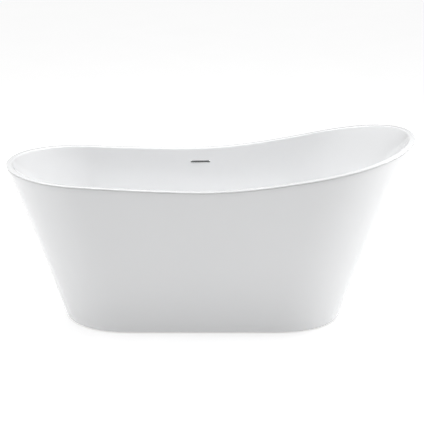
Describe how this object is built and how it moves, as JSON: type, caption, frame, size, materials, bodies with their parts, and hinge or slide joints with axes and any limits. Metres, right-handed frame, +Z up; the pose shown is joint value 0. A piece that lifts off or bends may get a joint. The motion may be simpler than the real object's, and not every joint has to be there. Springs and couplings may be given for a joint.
{
  "type": "freestanding bathtub",
  "caption": "Freestanding double-skinned acrylic slipper bathtub with click-clack waste, slot overflow and levelling feet.",
  "frame": {"origin": "on the floor, under the middle of the tub's overall length and width", "axes": "+Z up, +X from the foot end to the high head end, +Y to the side with the overflow"},
  "size_m": [1.7, 0.7934, 0.775],
  "materials": {
    "acrylic": "polished white sanitary acrylic",
    "skirt_acrylic": "satin-gloss white sanitary acrylic",
    "adhesive": "cured structural adhesive",
    "board": "sealed chipboard under resin",
    "zinc": "galvanised",
    "fasteners": "bright zinc plate",
    "foot_rubber": "moulded matt rubber",
    "seal_rubber": "moulded seal",
    "chrome": "polished chrome plate",
    "brass": "machined brass",
    "stainless": "bright stainless",
    "pipe_plastic": "white moulded polypropylene",
    "hose": "flexible corrugated hose"
  },
  "bodies": {
    "tub": {"inner_shell": "acrylic", "outer_skirt": "skirt_acrylic", "rim_bond_bead": "adhesive", "base_board": "board", "long_rail_front": "zinc", "long_rail_rear": "zinc", "cross_rail_foot": "zinc", "cross_rail_middle": "zinc", "cross_rail_head": "zinc", "skirt_bracket_foot_front": "zinc", "skirt_bracket_foot_rear": "zinc", "skirt_bracket_head_front": "zinc", "skirt_bracket_head_rear": "zinc", "coach_screw_foot_front": "fasteners", "coach_screw_foot_rear": "fasteners", "coach_screw_middle_front": "fasteners", "coach_screw_middle_rear": "fasteners", "coach_screw_head_front": "fasteners", "coach_screw_head_rear": "fasteners", "bracket_screw_foot_front": "fasteners", "bracket_screw_foot_rear": "fasteners", "bracket_screw_head_front": "fasteners", "bracket_screw_head_rear": "fasteners", "foot_lock_nut_foot_front": "fasteners", "foot_lock_nut_foot_rear": "fasteners", "foot_lock_nut_head_front": "fasteners", "foot_lock_nut_head_rear": "fasteners", "foot_lock_nut_middle": "fasteners", "flange_seal": "seal_rubber", "floor_seal": "seal_rubber", "overflow_gasket": "seal_rubber", "waste_flange": "chrome", "overflow_trim": "chrome", "cartridge_body": "brass", "cartridge_spring": "stainless", "hose_clamp_top": "stainless", "hose_clamp_bottom": "stainless", "waste_body": "pipe_plastic", "overflow_body": "pipe_plastic", "overflow_hose": "hose"},
    "plug": {"plug_cap": "chrome", "plug_seal": "seal_rubber", "plug_stem": "brass"},
    "pad_foot_front": {"foot_pad_foot_front": "foot_rubber"},
    "stud_foot_front": {"foot_stud_foot_front": "fasteners"},
    "pad_foot_rear": {"foot_pad_foot_rear": "foot_rubber"},
    "stud_foot_rear": {"foot_stud_foot_rear": "fasteners"},
    "pad_head_front": {"foot_pad_head_front": "foot_rubber"},
    "stud_head_front": {"foot_stud_head_front": "fasteners"},
    "pad_head_rear": {"foot_pad_head_rear": "foot_rubber"},
    "stud_head_rear": {"foot_stud_head_rear": "fasteners"},
    "pad_middle": {"foot_pad_middle": "foot_rubber"},
    "stud_middle": {"foot_stud_middle": "fasteners"}
  },
  "joints": [
    {"name": "plug_press", "type": "slide", "parent": "tub", "child": "plug", "axis": [0, 0, 1], "range_m": [-0.008, 0], "stiffness_N_per_m": 800, "springref_m": 0.012, "deforming": ["cartridge_spring"]},
    {"name": "lower_foot_front", "type": "slide", "parent": "tub", "child": "pad_foot_front", "axis": [0, 0, -1], "range_m": [0, 0.015]},
    {"name": "turn_foot_front", "type": "hinge", "parent": "pad_foot_front", "child": "stud_foot_front", "pos_m": [-0.4, -0.2138, 0.05], "axis": [0, 0, -1], "range_deg": [0, 3088]},
    {"name": "lower_foot_rear", "type": "slide", "parent": "tub", "child": "pad_foot_rear", "axis": [0, 0, -1], "range_m": [0, 0.015]},
    {"name": "turn_foot_rear", "type": "hinge", "parent": "pad_foot_rear", "child": "stud_foot_rear", "pos_m": [-0.4, 0.2138, 0.05], "axis": [0, 0, -1], "range_deg": [0, 3088]},
    {"name": "lower_head_front", "type": "slide", "parent": "tub", "child": "pad_head_front", "axis": [0, 0, -1], "range_m": [0, 0.015]},
    {"name": "turn_head_front", "type": "hinge", "parent": "pad_head_front", "child": "stud_head_front", "pos_m": [0.35, -0.2119, 0.05], "axis": [0, 0, -1], "range_deg": [0, 3088]},
    {"name": "lower_head_rear", "type": "slide", "parent": "tub", "child": "pad_head_rear", "axis": [0, 0, -1], "range_m": [0, 0.015]},
    {"name": "turn_head_rear", "type": "hinge", "parent": "pad_head_rear", "child": "stud_head_rear", "pos_m": [0.35, 0.2119, 0.05], "axis": [0, 0, -1], "range_deg": [0, 3088]},
    {"name": "lower_middle", "type": "slide", "parent": "tub", "child": "pad_middle", "axis": [0, 0, -1], "range_m": [0, 0.015]},
    {"name": "turn_middle", "type": "hinge", "parent": "pad_middle", "child": "stud_middle", "pos_m": [0.06, 0, 0.05], "axis": [0, 0, -1], "range_deg": [0, 3088]}
  ],
  "couplings": [
    {"joint": "turn_foot_front", "follows": "lower_foot_front", "rad_per_m": 3590.4},
    {"joint": "turn_foot_rear", "follows": "lower_foot_rear", "rad_per_m": 3590.4},
    {"joint": "turn_head_front", "follows": "lower_head_front", "rad_per_m": 3590.4},
    {"joint": "turn_head_rear", "follows": "lower_head_rear", "rad_per_m": 3590.4},
    {"joint": "turn_middle", "follows": "lower_middle", "rad_per_m": 3590.4}
  ]
}
